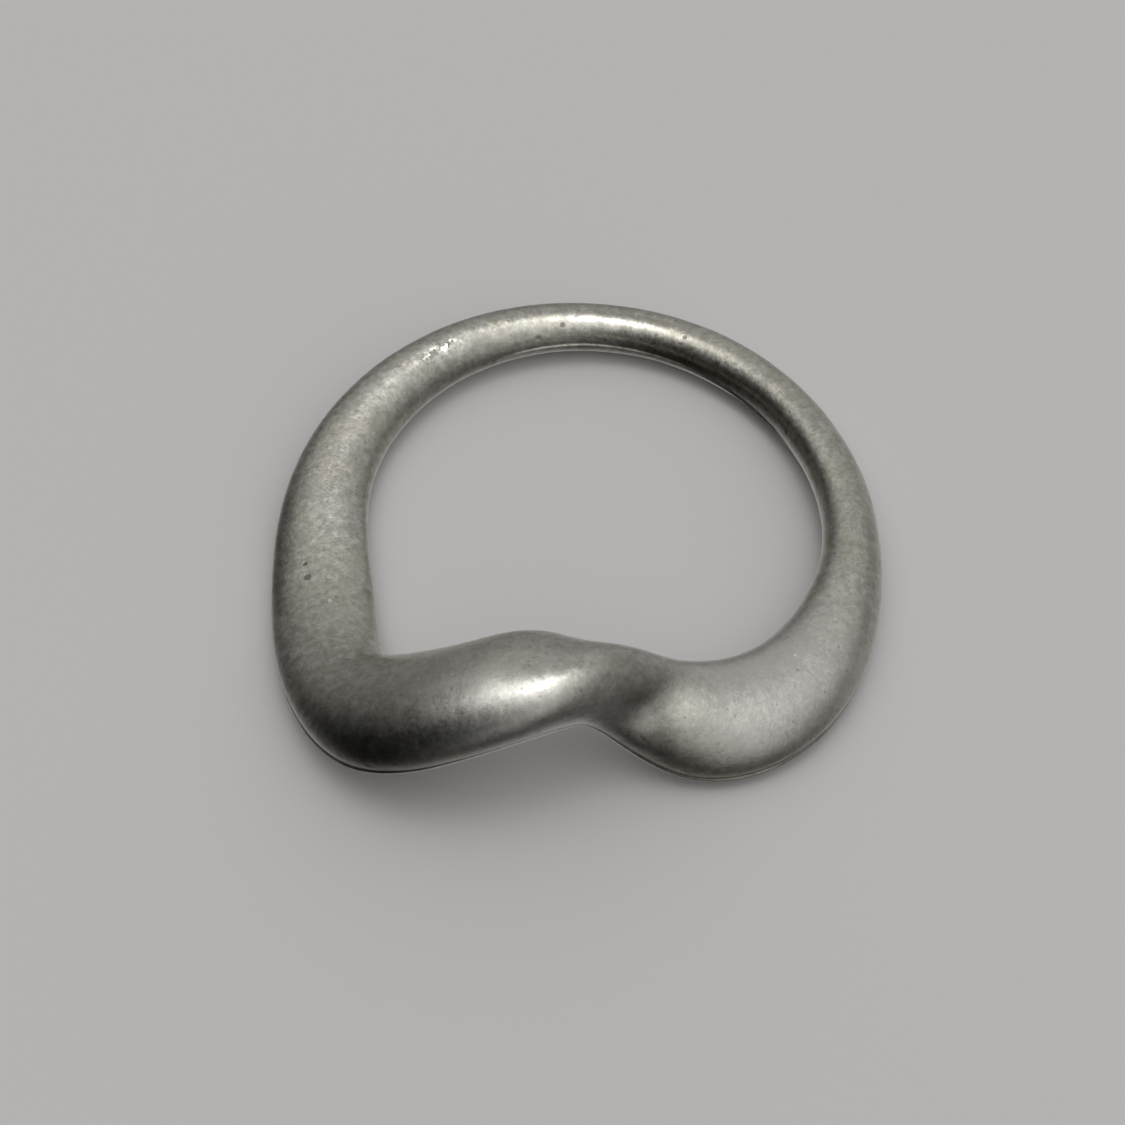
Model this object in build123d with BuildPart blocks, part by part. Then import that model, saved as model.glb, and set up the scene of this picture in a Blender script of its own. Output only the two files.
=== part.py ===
"""A one-piece cast metal ring whose band swells and turns over at the front.

Frame: millimetres, +Z up, with the ring lying flat on the plane Z = 0. The origin
is on the axis of the finger hole, and the front of the ring faces -Y.
Angles run anticlockwise about the hole's axis, and 0 points along +X.
"""

from build123d import *

import os
from math import cos, radians, sin, tan

os.makedirs("parts", exist_ok=True)

# The band is set by rounded cross-sections standing round the finger hole:
#   angle         where the section stands, degrees
#   radius        from the hole's axis to the section's centre
#   height        of the section's centre, before the ring is set down on the table
#   half_width    half the section's long axis
#   half_depth    half its short axis
#   tilt          long axis turned up from pointing straight out, degrees
SECTIONS = [
    # front crossing: the band stands on edge and arches clear of the table
    (-90, 10.4, 4.1, 2.6, 1.6, 75),
    (-75, 11.0, 2.4, 2.4, 1.5, 125),
    # right lobe: a broad face leaning up and outward
    (-60, 11.5, 1.7, 2.2, 1.4, 155),
    (-40, 11.2, 1.4, 1.8, 1.3, 170),
    (-15, 10.4, 1.4, 1.2, 1.1, 160),
    # plain round shank along the right side and the back
    (15, 9.7, 1.2, 1.1, 1.0, 135),
    (50, 9.5, 1.0, 1.0, 1.0, 105),
    (90, 9.7, 1.1, 1.0, 1.0, 75),
    (130, 10.0, 1.4, 1.2, 1.0, 40),
    # left arm: widens into a low, broad band with its face up
    (160, 10.5, 1.2, 1.5, 1.0, 10),
    (180, 10.8, 1.0, 1.8, 0.9, -5),
    (200, 11.4, 0.9, 2.1, 0.9, -5),
    # left lobe: the full bar that climbs to the crossing
    (220, 12.6, 1.6, 2.4, 1.4, 10),
    (235, 12.7, 3.1, 2.8, 2.0, 0),
    (250, 11.6, 4.7, 2.7, 2.0, 10),
]
FULL_TURN = 360
HALF_TURN = 180
SECTION_STEP = 10  # degrees between the sections that the surface is drawn through
SLOPE_PASSES = 60  # enough passes for the slopes to settle
HANDLE = 0.552  # a quarter arc's handle, as a share of the half axis it runs along
EDGE_LEAN = tan(radians(0.6))  # the quarters meet in four faint edges, 1.2 degrees

COUNT = len(SECTIONS)
ANGLES = [section[0] for section in SECTIONS]
GAPS = [(ANGLES[(i + 1) % COUNT] - ANGLES[i]) % FULL_TURN for i in range(COUNT)]
COLUMNS = list(zip(*SECTIONS))[1:]


def closed_slopes(values):
    """Slopes that make a closed cubic curve through the values smooth in curvature."""
    slopes = [0.0] * COUNT
    for _ in range(SLOPE_PASSES):
        for i in range(COUNT):
            after = (i + 1) % COUNT
            rise_before = (values[i] - values[i - 1]) / GAPS[i - 1]
            rise_after = (values[after] - values[i]) / GAPS[i]
            pull = 3 * (GAPS[i] * rise_before + GAPS[i - 1] * rise_after)
            neighbours = GAPS[i] * slopes[i - 1] + GAPS[i - 1] * slopes[after]
            slopes[i] = (pull - neighbours) / (2 * (GAPS[i - 1] + GAPS[i]))
    return slopes


SLOPES = [closed_slopes(column) for column in COLUMNS]


def sizes_at(angle):
    """Radius, height, half width, half depth and tilt of the band at any angle."""
    turned = (angle - ANGLES[0]) % FULL_TURN + ANGLES[0]
    start = max(i for i in range(COUNT) if ANGLES[i] <= turned)
    end = (start + 1) % COUNT
    t = (turned - ANGLES[start]) / GAPS[start]
    ahead = t * t * (3 - 2 * t)
    leaving = t * (1 - t) ** 2 * GAPS[start]
    arriving = t * t * (t - 1) * GAPS[start]
    return [
        column[start] * (1 - ahead) + column[end] * ahead
        + slope[start] * leaving + slope[end] * arriving
        for column, slope in zip(COLUMNS, SLOPES)
    ]


def arc_handle(tip, other_tip):
    """Handle of the quarter arc that leaves a tip of the section for the next one."""
    start = Vector(*tip)
    ahead = Vector(*other_tip) * HANDLE
    lean_in = EDGE_LEAN * ahead.length / start.length
    return start * (1 - lean_in) + ahead


def cross_section(angle):
    """The filled, nearly elliptical section at an angle, standing across the band."""
    radius, height, half_width, half_depth, tilt = sizes_at(angle)
    around = radians(angle)
    outward = Vector(cos(around), sin(around), 0)
    upward = Vector(0, 0, 1)
    long_axis = outward * cos(radians(tilt)) + upward * sin(radians(tilt))
    plane = Plane(
        origin=outward * radius + upward * height,
        x_dir=long_axis,
        z_dir=upward.cross(outward),
    )
    tips = [(half_width, 0), (0, half_depth), (-half_width, 0), (0, -half_depth)]
    with BuildSketch(plane) as section:
        with BuildLine():
            for tip, next_tip in zip(tips, tips[1:] + tips[:1]):
                Bezier(tip, arc_handle(tip, next_tip), arc_handle(next_tip, tip), next_tip)
        make_face()
    return section.sketch


def cross_sections(first, last):
    """Sections every few degrees from the first angle to the last."""
    return [cross_section(angle) for angle in range(first, last + 1, SECTION_STEP)]


with BuildPart() as twisted_band:
    loft(sections=cross_sections(0, HALF_TURN))
    loft(sections=cross_sections(HALF_TURN, FULL_TURN))

# The ring rests on its lowest points.
table = twisted_band.part.bounding_box().min.Z
twisted_band.part.locate(Location((0, 0, -table)))

twisted_band.part.label = "twisted_band"
export_step(twisted_band.part, "parts/twisted_band.step")
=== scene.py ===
import math

import bpy
import numpy as np
from mathutils import Matrix, Vector, noise


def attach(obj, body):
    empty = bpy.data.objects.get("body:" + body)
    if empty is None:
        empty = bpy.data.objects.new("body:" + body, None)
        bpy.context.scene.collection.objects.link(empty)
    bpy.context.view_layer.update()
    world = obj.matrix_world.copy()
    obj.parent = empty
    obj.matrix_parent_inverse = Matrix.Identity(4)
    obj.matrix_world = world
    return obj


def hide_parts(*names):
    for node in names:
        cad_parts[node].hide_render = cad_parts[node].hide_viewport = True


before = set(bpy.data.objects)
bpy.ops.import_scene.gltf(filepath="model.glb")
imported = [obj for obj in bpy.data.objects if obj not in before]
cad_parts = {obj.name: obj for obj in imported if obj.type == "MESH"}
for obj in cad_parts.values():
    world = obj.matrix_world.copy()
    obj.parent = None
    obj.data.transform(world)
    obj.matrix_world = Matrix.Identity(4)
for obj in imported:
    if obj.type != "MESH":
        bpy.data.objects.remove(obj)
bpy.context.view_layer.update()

MM = 0.001  # sizes are in millimetres and angles in degrees, unless a comment says not

# The band: elliptical cross-sections standing round the finger hole, as in the CAD part.
# angle, radius, height, half_width, half_depth, tilt
SECTIONS = [
    # front crossing: the band stands on edge and arches clear of the table
    (-90, 10.4, 4.1, 2.6, 1.6, 75),
    (-75, 11.0, 2.4, 2.4, 1.5, 125),
    # right lobe: a broad face leaning up and outward
    (-60, 11.5, 1.7, 2.2, 1.4, 155),
    (-40, 11.2, 1.4, 1.8, 1.3, 170),
    (-15, 10.4, 1.4, 1.2, 1.1, 160),
    # plain round shank along the right side and the back
    (15, 9.7, 1.2, 1.1, 1.0, 135),
    (50, 9.5, 1.0, 1.0, 1.0, 105),
    (90, 9.7, 1.1, 1.0, 1.0, 75),
    (130, 10.0, 1.4, 1.2, 1.0, 40),
    # left arm: widens into a low, broad band with its face up
    (160, 10.5, 1.2, 1.5, 1.0, 10),
    (180, 10.8, 1.0, 1.8, 0.9, -5),
    (200, 11.4, 0.9, 2.1, 0.9, -5),
    # left lobe: the full bar that climbs to the crossing
    (220, 12.6, 1.6, 2.4, 1.4, 10),
    (235, 12.7, 3.1, 2.8, 2.0, 0),
    (250, 11.6, 4.7, 2.7, 2.0, 10),
]
# Two mould lines run round the ring. Leans are where the surface faces, up from level,
# at ring angles given first; the mesh crowds towards both lines.
OUTER_LEAN = [(-90, -20), (270, -20)]
INNER_LEAN = [(-90, -5), (10, -20), (35, -14), (60, -3), (90, 2), (115, -4), (270, -5)]
ALONG = 720  # mesh rings round the finger hole
HALF_ROUND = 69  # points from one mould line to the other
CROWDING = 0.55  # 0 spaces the points evenly, and near 1 packs them on the lines

# Hollow at the crossing: its middle, then directions and how far it reaches along each.
CROSSING_AXES = [
    ((0.54, -0.68, -0.49), 0.95), ((0.84, 0.44, 0.32), 1.9), ((0, -0.58, 0.81), 1.8),
]
CROSSING = ((1.5, -11.85, 4.25), CROSSING_AXES)
CROSSING_DEPTH = 0.60
CROSSING_FACING = (-0.35, 0.55)  # it comes in between these values of the normal's Z
# Creases across the band.
CORNER_ANGLE, CORNER_REACH, CORNER_DEPTH = 221, 14, 0.55
ARCH_ANGLE, ARCH_REACH, ARCH_DEPTH = 267, 9, 0.25

# The outer mould line is a step, higher along the two lobes; the inner one is a ridge
# along the shank. Rises and falls are pairs: where it starts and where it is complete.
STEP_HEIGHT, LOBE_STEP_HEIGHT = 0.02, 0.09
STEP_LOBES = [(-62, 42), (222, 34)]  # ring angle and half width
STEP_TOP, STEP_FOOT = (-0.12, 0.0), (-0.9, -0.25)  # along the skin from the line
RIDGE_HEIGHT, RIDGE_WIDTH = 0.07, 0.05
RIDGE_RISE, RIDGE_FALL = (14, 34), (100, 122)  # ring angles

# Cast skin: height of the undulations, features per mm, octaves and shift of the noise.
UNDULATIONS = [(0.014, 0.35, 2, 3.1), (0.006, 1.3, 2, 11.7), (0.0016, 4.5, 1, 23.9)]
PIT_COUNT, PIT_DEPTH = 90, 0.03
PIT_REACHES, PIT_STRENGTHS = (0.10, 0.20), (0.15, 0.6)
SEED = 7

# Parts of the ring with different metal, as ring angle and half width.
SHANK_TOP = (84, 34)  # burnished
RIGHT_LOBE = (-55, 34)  # painted lighter where it faces up: painted light with some wear
# Patches of different metal: the middle, then directions and the reach along each.
# The bar's top is burnished and painted lighter, as painted light with some wear, and has less
# grain for some way round it.
BAR_TOP = ((-3.3, -12.3, 6.7), [((1, 0.3, 0), 3.0), ((-0.3, 1, 0), 1.3), ((0, 0, 1), 1.6)])
BAR_WEAR = ((-4.8, -12.2, 6.0), [((1, 0, 0.3), 4.6), ((0, 1, 0), 2.4), ((0, 0, 1), 1.9)])
BAR_SKIN = ((-5.5, -12.5, 4.0), [((1, 0, 0.3), 6.0), ((0, 1, 0), 3.5), ((0, 0, 1), 3.5)])
# The lower face of the left lobe, the hollow and the flank beside it are darkened with painted
# shade.
LOBE_FACE = ((-8.2, -12.9, 3.2), [((1, 0, 0.3), 2.6), ((0, 1, 0), 2.2), ((0, 0, 1), 1.05)])
RECESS = ((1.3, -11.7, 4.9), CROSSING_AXES)
FLANK = ((1.9, -11.7, 3.9), [((1, 0, 0), 1.4), ((0, 1, 0), 1.2), ((0, 0, 1), 0.8)])
# Coarse crystals show at the back left.
SPARKLE = (
    (-6.1, 7.55, 2.4), [((-0.78, -0.62, 0), 0.75), ((0.62, -0.78, 0), 0.25), ((0, 0, 1), 0.5)],
)

# Single marks on the skin: place and radius.
DARK_PITS = [
    ((-1.03, 9.08, 1.98), 0.14), ((4.01, 8.31, 1.93), 0.13),
    ((-11.25, -3.28, 1.70), 0.20), ((-11.37, -2.62, 1.68), 0.12),
]
# the bright specks are painted glints
BRIGHT_SPECKS = [((-10.32, -4.54, 1.90), 0.10), ((7.34, -8.30, 2.89), 0.09)]

# Metal colours, linear.
WARM_GREY, PALE_GREY, BROWN_GREY = (0.45, 0.44, 0.395), (0.55, 0.54, 0.50), (0.50, 0.475, 0.40)
# the third colour here is painted light with some wear
SHADED, LIT, LIGHT_AND_WEAR_TINT = (0.35, 0.34, 0.30), (0.68, 0.67, 0.63), (0.66, 0.66, 0.635)
PALE_SPECK, DARK_SPECK = (0.74, 0.73, 0.69), (0.24, 0.23, 0.20)
# the first colour here is painted shade
PAINTED_SHADE_TINT, CRYSTAL = (0.17, 0.165, 0.155), (0.76, 0.75, 0.71)
# the first colour here is a painted glint
PAINTED_GLINT_TINT, PIT_BOTTOM = (0.86, 0.85, 0.82), (0.12, 0.115, 0.095)
BASE_ROUGHNESS = 0.24
BUMP_DEPTH, LEAST_BUMP = 0.010, 0.15

FLOOR_HALF_SIZE = 2.0  # metres
FLOOR_COLOUR = (0.60, 0.595, 0.60, 1)
SKY_COLOUR = (1.0, 0.99, 0.97, 1)

CAMERA_ELEVATION, CAMERA_ROLL = 54.2, -1.5
CAMERA_DISTANCE, CAMERA_RIGHT, CAMERA_UP = 106.0, 1.25, 1.39
CAMERA_LENS, CAMERA_SENSOR = 84.3, 36
CAMERA_NEAR = 0.01  # metres


# ---------------------------------------------------------------- shape of the band

def closed_slopes(angles, values):
    """Slopes that make a closed cubic curve through the values smooth in curvature."""
    count = len(angles)
    gaps = [(angles[(i + 1) % count] - angles[i]) % 360 for i in range(count)]
    matrix = np.zeros((count, count))
    pull = np.zeros(count)
    for i in range(count):
        after = (i + 1) % count
        before, here = gaps[i - 1], gaps[i]
        matrix[i, i - 1] = here
        matrix[i, i] = 2 * (before + here)
        matrix[i, after] = before
        rise_before = (values[i] - values[i - 1]) / before
        rise_after = (values[after] - values[i]) / here
        pull[i] = 3 * (here * rise_before + before * rise_after)
    return np.linalg.solve(matrix, pull), gaps


def sizes_along(turned):
    """Radius, height, half width, half depth and tilt at each angle of the array."""
    angles = [section[0] for section in SECTIONS]
    count = len(angles)
    start = np.searchsorted(angles, turned, side="right") - 1
    end = (start + 1) % count
    result = []
    for column in range(1, 6):
        values = np.array([section[column] for section in SECTIONS], float)
        slopes, gaps = closed_slopes(angles, values)
        gap = np.array(gaps, float)[start]
        t = (turned - np.array(angles, float)[start]) / gap
        ahead = t * t * (3 - 2 * t)
        result.append(
            values[start] * (1 - ahead) + values[end] * ahead
            + slopes[start] * t * (1 - t) ** 2 * gap
            + slopes[end] * t * t * (t - 1) * gap
        )
    return result


def facing_turn(lean, wide, deep, tilt):
    """Where on each section the surface faces a lean, degrees up from straight out."""
    facing = np.radians(lean) - tilt
    return np.unwrap(np.arctan2(deep * np.sin(facing), wide * np.cos(facing)))


def crowded(count):
    """Shares from 0 up to 1 that lie closer together towards both ends."""
    share = np.arange(count) / count
    return share - CROWDING * np.sin(2 * np.pi * share) / (2 * np.pi)


def band_grid():
    """Points of the smooth band in mm, sections x points round each, and ring angles.

    Each section starts on the outer mould line, goes over the top to the inner line
    at HALF_ROUND, and comes back underneath.
    """
    turned = -90 + 360 * np.arange(ALONG) / ALONG
    radius, height, wide, deep, tilt = sizes_along(turned)
    tilt = np.radians(tilt)
    outer = facing_turn(np.interp(turned, *zip(*OUTER_LEAN)), wide, deep, tilt)
    inner = facing_turn(180 - np.interp(turned, *zip(*INNER_LEAN)), wide, deep, tilt)
    over = (inner - outer) % (2 * np.pi)
    shares = crowded(HALF_ROUND)
    turn = np.hstack([
        outer[:, None] + over[:, None] * shares,
        (outer + over)[:, None] + (2 * np.pi - over)[:, None] * shares,
    ])
    radius, height, wide, deep, tilt = [v[:, None] for v in (radius, height, wide, deep, tilt)]
    across, through = wide * np.cos(turn), deep * np.sin(turn)
    out = radius + across * np.cos(tilt) - through * np.sin(tilt)
    up = height + across * np.sin(tilt) + through * np.cos(tilt)
    angle = np.radians(turned)[:, None]
    points = np.stack([out * np.cos(angle), out * np.sin(angle), up], -1)
    points[..., 2] -= points[..., 2].min()
    return points, turned


def above_lines(points):
    """How far along the skin each point is above the outer and the inner mould line."""
    step = np.linalg.norm(np.roll(points, -1, 1) - points, axis=-1)
    gone = np.cumsum(step, 1) - step
    whole = step.sum(1, keepdims=True)
    outer = gone.copy()
    outer[:, HALF_ROUND:] -= whole
    inner = gone[:, HALF_ROUND:HALF_ROUND + 1] - gone
    return outer, inner


def grid_normals(points):
    """Outward unit normals of the closed grid."""
    along = np.roll(points, -1, 0) - np.roll(points, 1, 0)
    around = np.roll(points, -1, 1) - np.roll(points, 1, 1)
    normal = np.cross(around, along)
    normal /= np.linalg.norm(normal, axis=-1, keepdims=True)
    outward = points - points.mean(1, keepdims=True)
    if (normal * outward).sum() < 0:
        normal = -normal
    return normal


def noise_field(points, scale, octaves, offset):
    """Fractal noise, about -1 to 1, at each point; scale is in features per millimetre."""
    flat = points.reshape(-1, 3) * scale + offset
    values = [noise.fractal(p, 1.0, 2.0, octaves) for p in flat.tolist()]
    return np.array(values).reshape(points.shape[:2])


def near(points, centre, reach):
    """1 at centre, falling smoothly to 0 at reach; points and reach in millimetres."""
    d = np.linalg.norm(points - np.array(centre), axis=-1) / reach
    return np.clip(1 - d * d, 0, 1) ** 2


def turn_from(turned, centre):
    """Degrees from a ring angle the short way round, -180 to 180."""
    return (turned - centre + 180) % 360 - 180


def band_about(turned, centre, half_width):
    """1 at an angle round the ring, falling smoothly to 0 half_width degrees away."""
    return np.clip(1 - (turn_from(turned, centre) / half_width) ** 2, 0, 1) ** 2


def smooth(values, low, high):
    """0 below low, 1 above high, smooth between."""
    t = np.clip((values - low) / (high - low), 0, 1)
    return t * t * (3 - 2 * t)


def patch_at(points, patch):
    """1 in the middle of a patch, falling off along its directions by their reaches."""
    centre, axes = patch
    offset = points - np.array(centre)
    total = 0.0
    for direction, reach in axes:
        unit = np.array(direction) / np.linalg.norm(direction)
        total = total + (offset @ unit / reach) ** 2
    return np.exp(-total)


def crease(turned, centre, reach):
    """A fold across the band: 1 at a ring angle, with a sharp top and soft ends."""
    return np.clip(1 - np.abs(turn_from(turned, centre)) / reach, 0, 1)[:, None] ** 2


def shape_folds(points, normal, turned):
    """Press in the three folds that the plain sections leave out."""
    # hollow at the crossing, where the bar passes over the right lobe
    hollow = patch_at(points, CROSSING) * smooth(normal[..., 2], *CROSSING_FACING)
    points = points - normal * (CROSSING_DEPTH * hollow)[..., None]
    # tight inner corner where the left arm runs in under the bar
    angle = np.radians(turned)
    outward = np.stack([np.cos(angle), np.sin(angle), 0 * angle], -1)[:, None, :]
    facing_out = (normal * outward).sum(-1)
    inner_side = np.clip(0.25 - 1.4 * facing_out, 0, 1)
    corner = crease(turned, CORNER_ANGLE, CORNER_REACH) * inner_side
    points = points + outward * (CORNER_DEPTH * corner)[..., None]
    # sharp notch under the crossing
    under = smooth(-normal[..., 2], 0.0, 0.5) * smooth(facing_out, 0.0, 0.4)
    arch = crease(turned, ARCH_ANGLE, ARCH_REACH) * under
    return points - normal * (ARCH_DEPTH * arch)[..., None]


def mould_lines(points, turned):
    """Height of the step on the outer line and of the ridge on the inner one."""
    outer, inner = above_lines(points)
    lobes = np.maximum(*[band_about(turned, *lobe) for lobe in STEP_LOBES])
    step = (1 - smooth(outer, *STEP_TOP)) * smooth(outer, *STEP_FOOT)
    step_height = STEP_HEIGHT + LOBE_STEP_HEIGHT * lobes
    ridge = np.exp(-(inner / RIDGE_WIDTH) ** 2)
    shank = smooth(turned, *RIDGE_RISE) * (1 - smooth(turned, *RIDGE_FALL))
    return step_height[:, None] * step + RIDGE_HEIGHT * shank[:, None] * ridge


def cast_skin(points, turned):
    """How far the cast surface stands proud of the smooth band, and its soft pits."""
    height = mould_lines(points, turned)
    for rise, scale, octaves, shift in UNDULATIONS:
        height += rise * noise_field(points, scale, octaves, shift)

    rng = np.random.RandomState(SEED)
    pits = np.zeros(height.shape)
    flat = points.reshape(-1, 3)
    for _ in range(PIT_COUNT):
        centre = flat[rng.randint(len(flat))]
        reach = rng.uniform(*PIT_REACHES)
        pits = np.maximum(pits, near(points, centre, reach) * rng.uniform(*PIT_STRENGTHS))
    return height - PIT_DEPTH * pits, pits


# ---------------------------------------------------------------- building helpers

def new_object(name, data):
    piece = bpy.data.objects.new(name, data)
    bpy.context.scene.collection.objects.link(piece)
    return piece


def grid_mesh(name, points):
    """A closed quad mesh over the grid, points in millimetres."""
    along, around = points.shape[:2]
    i, j = np.meshgrid(np.arange(along), np.arange(around), indexing="ij")
    a = i * around + j
    b = ((i + 1) % along) * around + j
    c = ((i + 1) % along) * around + (j + 1) % around
    d = i * around + (j + 1) % around
    faces = np.stack([a, b, c, d], -1).reshape(-1, 4)
    mesh = bpy.data.meshes.new(name)
    mesh.from_pydata((points.reshape(-1, 3) * MM).tolist(), [], faces.tolist())
    mesh.polygons.foreach_set("use_smooth", [True] * len(mesh.polygons))
    mesh.validate()
    mesh.update()
    return mesh


def put_attribute(mesh, name, values):
    attribute = mesh.attributes.new(name, "FLOAT", "POINT")
    attribute.data.foreach_set("value", values.reshape(-1).astype(np.float32))


class Nodes:
    """Short calls for building a node tree."""

    def __init__(self, tree):
        self.tree = tree

    def add(self, kind, **settings):
        node = self.tree.nodes.new(kind)
        for key, value in settings.items():
            setattr(node, key, value)
        return node

    def link(self, source, target):
        """Feed an input from another node's output, or set it to a plain value."""
        if isinstance(source, bpy.types.NodeSocket):
            self.tree.links.new(source, target)
        else:
            target.default_value = source

    def math(self, operation, *values):
        node = self.add("ShaderNodeMath", operation=operation)
        for value, target in zip(values, node.inputs):
            self.link(value, target)
        return node.outputs[0]

    def vector(self, operation, *values):
        """Vector maths; a distance or a dot product comes out as a number."""
        node = self.add("ShaderNodeVectorMath", operation=operation)
        for value, target in zip(values, node.inputs):
            self.link(value, target)
        number = operation in ("DISTANCE", "DOT_PRODUCT")
        return node.outputs["Value" if number else "Vector"]

    def scaled(self, vector, factor):
        node = self.add("ShaderNodeVectorMath", operation="SCALE")
        self.link(vector, node.inputs[0])
        self.link(factor, node.inputs["Scale"])
        return node.outputs["Vector"]

    def noise(self, vector, scale, detail, rough):
        node = self.add("ShaderNodeTexNoise")
        self.link(vector, node.inputs["Vector"])
        node.inputs["Scale"].default_value = scale
        node.inputs["Detail"].default_value = detail
        node.inputs["Roughness"].default_value = rough
        return node.outputs["Fac"]

    def ramp(self, value, low, high):
        """0 below low, 1 above high; low may be the larger, which turns it over."""
        node = self.add("ShaderNodeMapRange", interpolation_type="SMOOTHSTEP", clamp=True)
        self.link(value, node.inputs["Value"])
        node.inputs["From Min"].default_value = low
        node.inputs["From Max"].default_value = high
        return node.outputs["Result"]

    def mix(self, factor, first, second):
        """The first colour where the factor is 0, the second where it is 1."""
        node = self.add("ShaderNodeMix", data_type="RGBA")
        self.link(factor, node.inputs[0])
        for colour, target in ((first, node.inputs[6]), (second, node.inputs[7])):
            self.link((*colour, 1) if isinstance(colour, tuple) else colour, target)
        return node.outputs[2]

    def cells(self, vector, scale):
        """Scattered cells: distance from the middle of a cell, and its random colour."""
        node = self.add("ShaderNodeTexVoronoi")
        self.link(vector, node.inputs["Vector"])
        node.inputs["Scale"].default_value = scale
        return node.outputs["Distance"], node.outputs["Color"]

    def channel(self, colour, index):
        node = self.add("ShaderNodeSeparateColor")
        self.link(colour, node.inputs[0])
        return node.outputs[index]

    def spot(self, vector, centre, radius):
        """1 in a round spot about a place, 0 outside it."""
        return self.ramp(self.vector("DISTANCE", vector, centre), radius, 0.5 * radius)

    def attribute(self, name):
        return self.add("ShaderNodeAttribute", attribute_name=name).outputs["Fac"]


def cast_metal():
    """As-cast grey metal: mottled, finely grained, pitted, burnished in places."""
    material = bpy.data.materials.new("cast_metal")
    material.use_nodes = True
    n = Nodes(material.node_tree)
    shader = material.node_tree.nodes["Principled BSDF"]
    shader.inputs["Metallic"].default_value = 1.0
    mm = n.scaled(n.add("ShaderNodeTexCoord").outputs["Object"], 1 / MM)

    # painted on the mesh: burnished metal, painted shade, painted light with some wear,
    # sparkling crystals, pits, and calm metal with less grain
    facets = n.attribute("facets")
    burnish = n.attribute("burnish")
    rugged = n.math("SUBTRACT", 1.0, n.attribute("calm"))
    pit = n.attribute("pit")
    for centre, radius in DARK_PITS:
        pit = n.math("MAXIMUM", pit, n.spot(mm, centre, radius))
    # painted glints: small spots of pale metal colour
    glint = 0.0
    for centre, radius in BRIGHT_SPECKS:
        glint = n.math("MAXIMUM", n.spot(mm, centre, radius), glint)

    # from the broadest pattern to the finest, in features per mm
    broad = n.noise(mm, 0.45, 2.0, 0.55)
    patch = n.noise(mm, 1.7, 3.0, 0.6)
    mottle = n.noise(mm, 3.4, 3.0, 0.6)
    grain = n.noise(mm, 7.0, 3.0, 0.65)
    fine = n.noise(mm, 26.0, 2.0, 0.6)
    # some cells hold a speck, and some of those are pale
    cell, cell_shade = n.cells(mm, 3.2)
    chosen = n.ramp(n.channel(cell_shade, 0), 0.62, 0.66)
    speck = n.math("MULTIPLY", n.ramp(cell, 0.30, 0.08), chosen)
    pale = n.math("MULTIPLY", speck, n.ramp(n.channel(cell_shade, 1), 0.60, 0.62))
    dark = n.math("SUBTRACT", speck, pale)

    colour = n.mix(n.ramp(patch, 0.36, 0.66), WARM_GREY, PALE_GREY)
    for where, amount, tint in (
        (n.ramp(broad, 0.42, 0.62), 0.5, BROWN_GREY),
        (n.ramp(mottle, 0.48, 0.34), 0.5, SHADED),
        (n.ramp(mottle, 0.54, 0.68), 0.4, LIT),
        (n.math("MULTIPLY", n.ramp(grain, 0.52, 0.36), rugged), 0.45, SHADED),
        # painted light with some wear on the up-facing right lobe and the bar's top
        (n.attribute("painted_light_and_wear"), 0.7, LIGHT_AND_WEAR_TINT),
        (pale, 0.5, PALE_SPECK),
        (dark, 0.45, DARK_SPECK),
        # painted shade on the left lobe's lower face, in the hollow and on its flank
        (n.attribute("painted_shade"), 0.75, PAINTED_SHADE_TINT),
        (facets, 0.2, CRYSTAL),
        # painted glints
        (glint, 0.8, PAINTED_GLINT_TINT),
        (pit, 0.7, PIT_BOTTOM),
    ):
        colour = n.mix(n.math("MULTIPLY", where, amount), colour, tint)
    n.link(colour, shader.inputs["Base Color"])

    rough = n.math("MULTIPLY_ADD", grain, 0.14, BASE_ROUGHNESS)
    rough = n.math("MULTIPLY_ADD", n.math("SUBTRACT", patch, 0.5), 0.12, rough)
    rough = n.math("MULTIPLY_ADD", burnish, -0.15, rough)
    rough = n.math("MULTIPLY_ADD", facets, -0.15, rough)
    n.link(rough, shader.inputs["Roughness"])

    # coarse metal crystals catch the light one by one
    crystal_shade = n.cells(mm, 6.5)[1]
    tip = n.vector("SUBTRACT", crystal_shade, (0.5, 0.5, 0.5))
    amount = n.math("MULTIPLY_ADD", facets, 0.5, n.math("MULTIPLY", rugged, 0.05))
    surface = n.add("ShaderNodeNewGeometry").outputs["Normal"]
    tipped = n.vector("NORMALIZE", n.vector("ADD", surface, n.scaled(tip, amount)))

    texture = 0.0
    for pattern, amount in ((grain, 0.7), (fine, 0.3), (mottle, 1.1), (dark, -0.35), (pit, -1.2)):
        texture = n.math("MULTIPLY_ADD", pattern, amount, texture)
    bump = n.add("ShaderNodeBump")
    strength = n.math("MULTIPLY_ADD", burnish, -0.6, rugged)
    n.link(n.math("MAXIMUM", strength, LEAST_BUMP), bump.inputs["Strength"])
    n.link(BUMP_DEPTH * MM, bump.inputs["Distance"])
    n.link(texture, bump.inputs["Height"])
    n.link(tipped, bump.inputs["Normal"])
    n.link(bump.outputs["Normal"], shader.inputs["Normal"])
    return material


# ---------------------------------------------------------------- the ring

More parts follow.
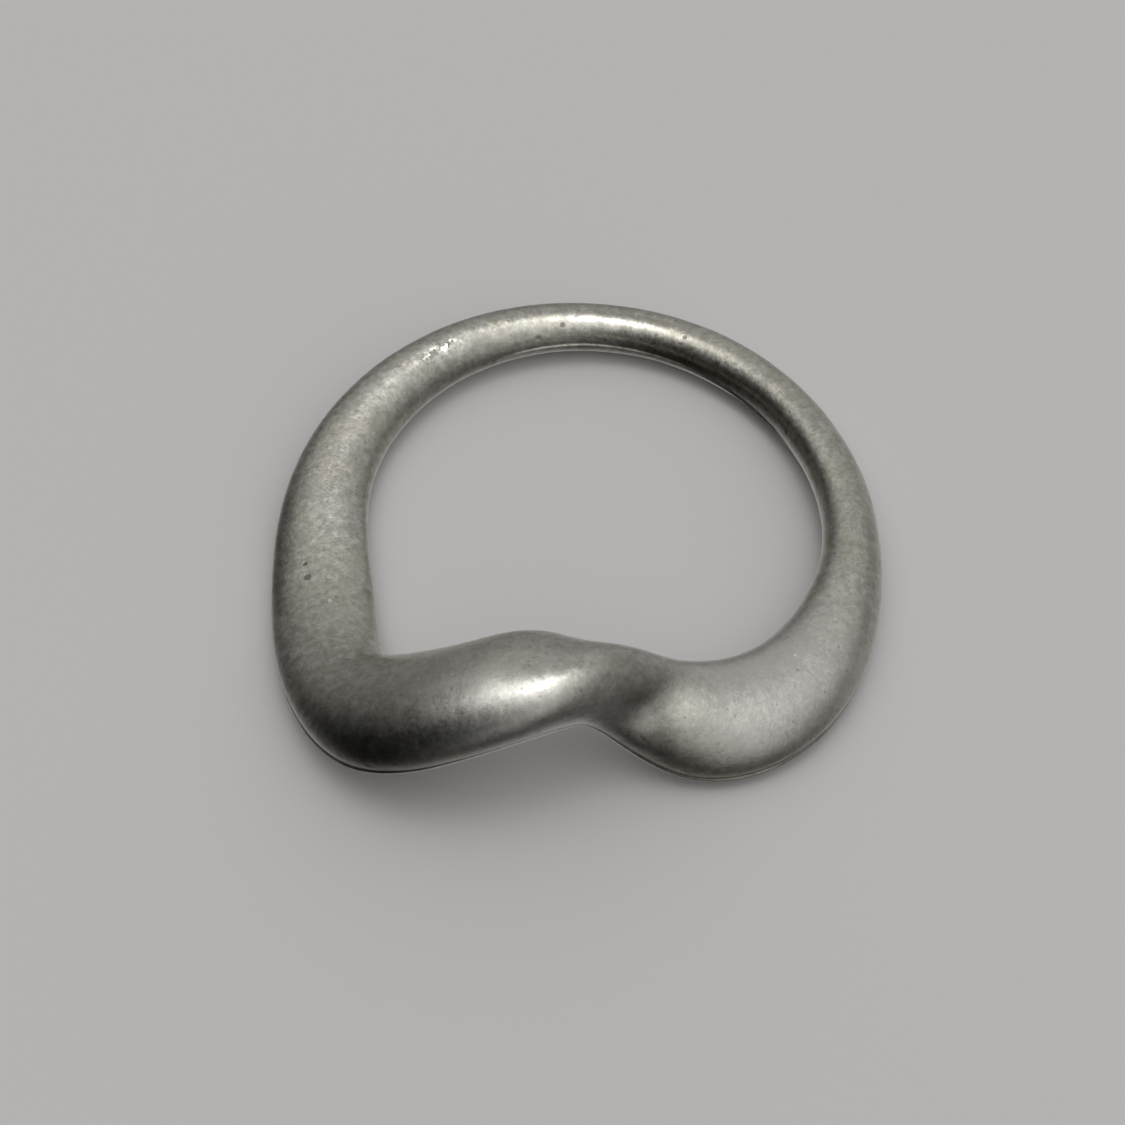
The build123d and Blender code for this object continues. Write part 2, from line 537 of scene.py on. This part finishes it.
def skin_marks(points, normal, turned):
    """Where the metal is burnished, painted with shade, calm, painted with light and some wear,
    or sparkling, 0 to 1.
    """
    shank_top = band_about(turned, *SHANK_TOP)[:, None] * np.clip(normal[..., 2], 0, 1)
    flank = patch_at(points, FLANK)
    # painted shade: the left lobe's lower face, the hollow at the crossing and the flank beside
    # it are darkened
    shade_patches = [0.6 * patch_at(points, LOBE_FACE), 0.7 * patch_at(points, RECESS), 0.85 * flank]
    # the right lobe is painted lighter where it faces up: painted light with some wear
    lobe = band_about(turned, *RIGHT_LOBE)[:, None] * smooth(normal[..., 2], 0.1, 0.7)
    return {
        "burnish": np.maximum(shank_top, 0.55 * patch_at(points, BAR_TOP)),
        "painted_shade": np.maximum.reduce(shade_patches),
        "calm": 0.6 * patch_at(points, BAR_SKIN),
        "painted_light_and_wear": np.maximum(lobe * (1 - flank), 0.75 * patch_at(points, BAR_WEAR)),
        "facets": patch_at(points, SPARKLE),
    }


def build_ring():
    points, turned = band_grid()
    points = shape_folds(points, grid_normals(points), turned)
    normal = grid_normals(points)
    height, pits = cast_skin(points, turned)
    shaped = points + normal * height[..., None]
    shaped[..., 2] = np.maximum(shaped[..., 2], 0)  # nothing goes into the floor

    mesh = grid_mesh("twisted_band_cast", shaped)
    put_attribute(mesh, "pit", pits)
    for name, values in skin_marks(points, normal, turned).items():
        put_attribute(mesh, name, values)
    mesh.materials.append(cast_metal())
    ring = new_object("twisted_band_cast", mesh)
    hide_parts("twisted_band")
    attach(ring, "root")


# ---------------------------------------------------------------- studio

def make_floor():
    size = FLOOR_HALF_SIZE
    mesh = bpy.data.meshes.new("floor")
    mesh.from_pydata(
        [(-size, -size, 0), (size, -size, 0), (size, size, 0), (-size, size, 0)],
        [], [(0, 1, 2, 3)],
    )
    floor = new_object("floor", mesh)
    material = bpy.data.materials.new("floor")
    material.use_nodes = True
    shader = material.node_tree.nodes["Principled BSDF"]
    shader.inputs["Base Color"].default_value = FLOOR_COLOUR
    shader.inputs["Roughness"].default_value = 0.9
    shader.inputs["Specular IOR Level"].default_value = 0.1
    mesh.materials.append(material)
    floor.visible_glossy = False  # the surround lights the ring from below instead


# Soft sources of the studio surround: azimuth (0 is +X, 90 is the back), elevation,
# strength and how tightly each is gathered.
SKY = [
    # overhead and front right
    (0, 90, 1.05, 9), (0, 88, 3.0, 60), (170, 68, 0.8, 20), (300, 62, 0.90, 9),
    (320, 36, 0.25, 9), (280, 36, 0.15, 9), (300, 9, 0.45, 9),
    # right side and back
    (0, 36, 0.31, 9), (40, 36, 0.24, 9), (80, 36, 0.26, 9), (120, 36, 0.25, 9),
    (132, 42, 0.18, 20),
    (60, 9, 0.17, 9), (90, 9, 0.14, 9),
    # light coming back up from the table
    (0, -18, 0.19, 9), (30, -18, 0.20, 9), (60, -18, 0.15, 9), (120, -18, 0.15, 9),
    (285, -18, 0.13, 9), (60, -50, 0.38, 9), (120, -50, 0.38, 9), (0, -50, 0.12, 9),
    (160, -45, 0.08, 9), (0, -85, 0.22, 9),
]


def toward(azimuth, elevation):
    """Unit vector for a direction given in degrees."""
    a, e = math.radians(azimuth), math.radians(elevation)
    return Vector((math.cos(a) * math.cos(e), math.sin(a) * math.cos(e), math.sin(e)))


def make_sky():
    """Studio surround made of soft round sources, dim to the left."""
    world = bpy.data.worlds.new("studio")
    bpy.context.scene.world = world
    world.use_nodes = True
    n = Nodes(world.node_tree)
    background = world.node_tree.nodes["Background"]
    direction = n.add("ShaderNodeTexCoord").outputs["Generated"]
    total = 0.0
    for azimuth, elevation, strength, gathered in SKY:
        dot = n.vector("DOT_PRODUCT", direction, toward(azimuth, elevation))
        fall = n.math("MULTIPLY", n.math("SUBTRACT", dot, 1.0), gathered)
        glow = n.math("MULTIPLY", n.math("EXPONENT", fall), strength)
        total = n.math("ADD", glow, total)
    background.inputs["Color"].default_value = SKY_COLOUR
    n.link(total, background.inputs["Strength"])


def make_camera():
    """The camera stands at the front, looking down at the ring."""
    elevation, roll = math.radians(CAMERA_ELEVATION), math.radians(CAMERA_ROLL)
    back = Vector((0, -math.cos(elevation), math.sin(elevation)))
    level = Vector((1, 0, 0))
    upward = back.cross(level)
    right = level * math.cos(roll) + upward * math.sin(roll)
    up = upward * math.cos(roll) - level * math.sin(roll)
    data = bpy.data.cameras.new("camera")
    data.sensor_width = CAMERA_SENSOR
    data.lens = CAMERA_LENS
    data.clip_start = CAMERA_NEAR
    camera = new_object("camera", data)
    place = back * CAMERA_DISTANCE - right * CAMERA_RIGHT - up * CAMERA_UP
    matrix = Matrix((right, up, back)).transposed().to_4x4()
    matrix.translation = place * MM
    camera.matrix_world = matrix
    bpy.context.scene.camera = camera


build_ring()
make_floor()
make_sky()
make_camera()
bpy.context.scene.view_settings.view_transform = "Standard"
